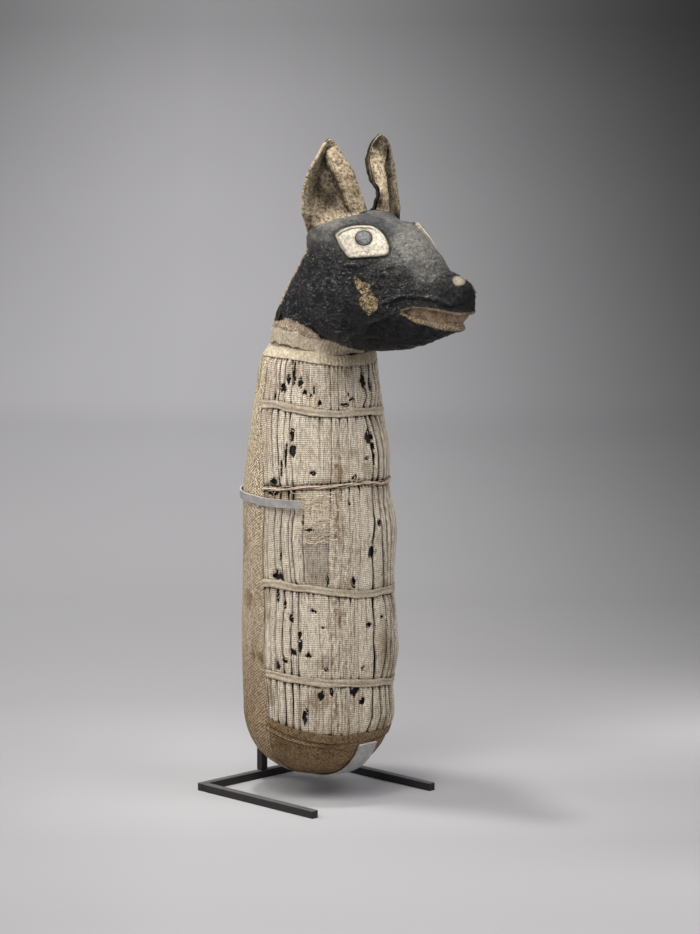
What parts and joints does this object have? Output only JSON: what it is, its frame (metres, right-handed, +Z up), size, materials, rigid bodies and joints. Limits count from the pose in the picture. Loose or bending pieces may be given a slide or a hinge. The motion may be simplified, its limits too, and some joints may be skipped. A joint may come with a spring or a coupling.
{
  "type": "animal mummy",
  "caption": "Wrapped dog mummy with painted head and pleated linen front, standing in a steel display mount it lifts out of.",
  "frame": {"origin": "on the floor, at the foot of the upright post, in the middle of the underside of the base's rear bar", "axes": "+Z up along the post; the animal faces -Y; +X is the animal's left"},
  "size_m": [0.1378, 0.2374, 0.5311],
  "materials": {
    "black_steel": "black satin finish with slight rubbing on the edges",
    "grey_strip": "satin grey, brighter on the cut edges",
    "cream_linen": "matt pleated linen with fine cross ribs, holes and brown stains",
    "tan_linen": "matt plain-weave linen, tan and dusty",
    "brown_linen": "matt linen browned towards the foot",
    "resin_linen": "dark, resin-soaked linen seen through the holes",
    "packing_linen": "matt inner wads and bandage",
    "bone": "linen-wrapped remains, hidden",
    "palm_rib": "dry palm rib, hidden",
    "painted_linen": "black paint on linen, crackled on the cheeks and smoother on the brow",
    "eye_linen": "cream linen patch with a dark drawn edge",
    "iris_paint": "dark grey painted disc with a darker ring"
  },
  "bodies": {
    "stand": {"base_rear_bar": "black_steel", "base_right_arm": "black_steel", "base_left_arm": "black_steel", "upright_post": "black_steel", "cradle_bracket": "black_steel", "cradle_strip": "grey_strip", "retaining_arm_right": "grey_strip", "retaining_arm_left": "grey_strip"},
    "mummy": {"pleat_strip_01": "cream_linen", "pleat_strip_02": "cream_linen", "pleat_strip_03": "cream_linen", "pleat_strip_04": "cream_linen", "pleat_strip_05": "cream_linen", "pleat_strip_06": "cream_linen", "pleat_strip_07": "cream_linen", "pleat_strip_08": "cream_linen", "pleat_strip_09": "cream_linen", "pleat_strip_10": "cream_linen", "pleat_strip_11": "cream_linen", "pleat_strip_12": "cream_linen", "pleat_strip_13": "cream_linen", "pleat_strip_14": "cream_linen", "pleat_strip_15": "cream_linen", "pleat_strip_16": "cream_linen", "pleat_strip_17": "cream_linen", "pleat_strip_18": "cream_linen", "pleat_strip_19": "cream_linen", "pleat_strip_20": "cream_linen", "pleat_strip_21": "cream_linen", "pleat_strip_22": "cream_linen", "tie_band_1": "cream_linen", "tie_cord_2": "cream_linen", "tie_band_3": "cream_linen", "tie_band_4": "cream_linen", "back_shroud": "tan_linen", "neck_band_1": "tan_linen", "neck_band_2": "tan_linen", "neck_band_3": "tan_linen", "ear_right": "tan_linen", "ear_left": "tan_linen", "ear_flap_right": "tan_linen", "ear_flap_left": "tan_linen", "base_cap": "brown_linen", "hem_band": "brown_linen", "under_wrapping": "resin_linen", "linen_packing": "packing_linen", "dog_bundle": "bone", "wrapped_skull": "bone", "palm_rib": "palm_rib", "head_cover": "painted_linen", "mouth_lining": "eye_linen", "eye_patch_right": "eye_linen", "eye_patch_left": "eye_linen", "nostril_patch_right": "eye_linen", "nostril_patch_left": "eye_linen", "iris_right": "iris_paint", "iris_left": "iris_paint"}
  },
  "joints": [
    {"name": "mummy_lift", "type": "slide", "parent": "stand", "child": "mummy", "axis": [0, 0, 1], "range_m": [0, 0.235]}
  ]
}
